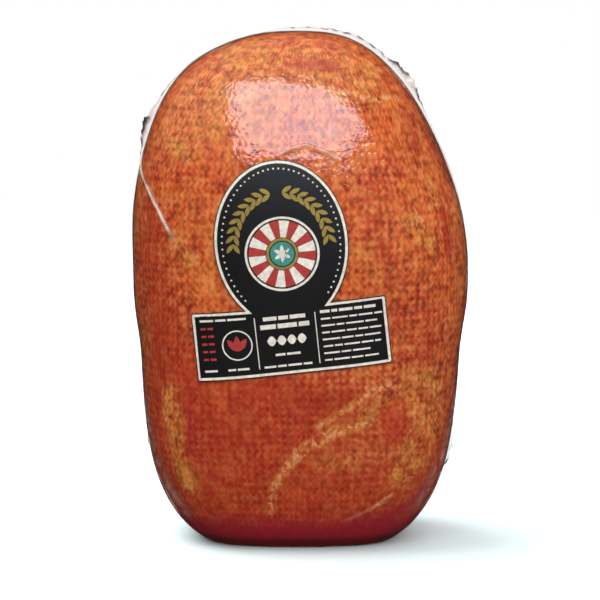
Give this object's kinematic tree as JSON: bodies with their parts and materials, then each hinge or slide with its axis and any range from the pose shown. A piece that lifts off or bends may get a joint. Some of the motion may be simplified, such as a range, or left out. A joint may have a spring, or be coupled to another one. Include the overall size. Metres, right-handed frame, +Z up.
{
  "type": "whole boneless ham in clear film",
  "caption": "Whole boneless smoked ham, shrink-wrapped in clear film with a plain printed label, standing on its flat butt end.",
  "frame": {"origin": "middle of the flat butt end that the ham stands on, under the middle of its bounding box", "axes": "+Z up along the ham's length, +X to the right as seen from the front, and the label faces -Y"},
  "size_m": [0.1782, 0.1156, 0.2719],
  "materials": {
    "ham": "smoked meat under tight glossy clear film",
    "label": "satin printed paper, black with a cream edge"
  },
  "bodies": {
    "root": {"ham": "ham", "label": "label"}
  },
  "joints": []
}
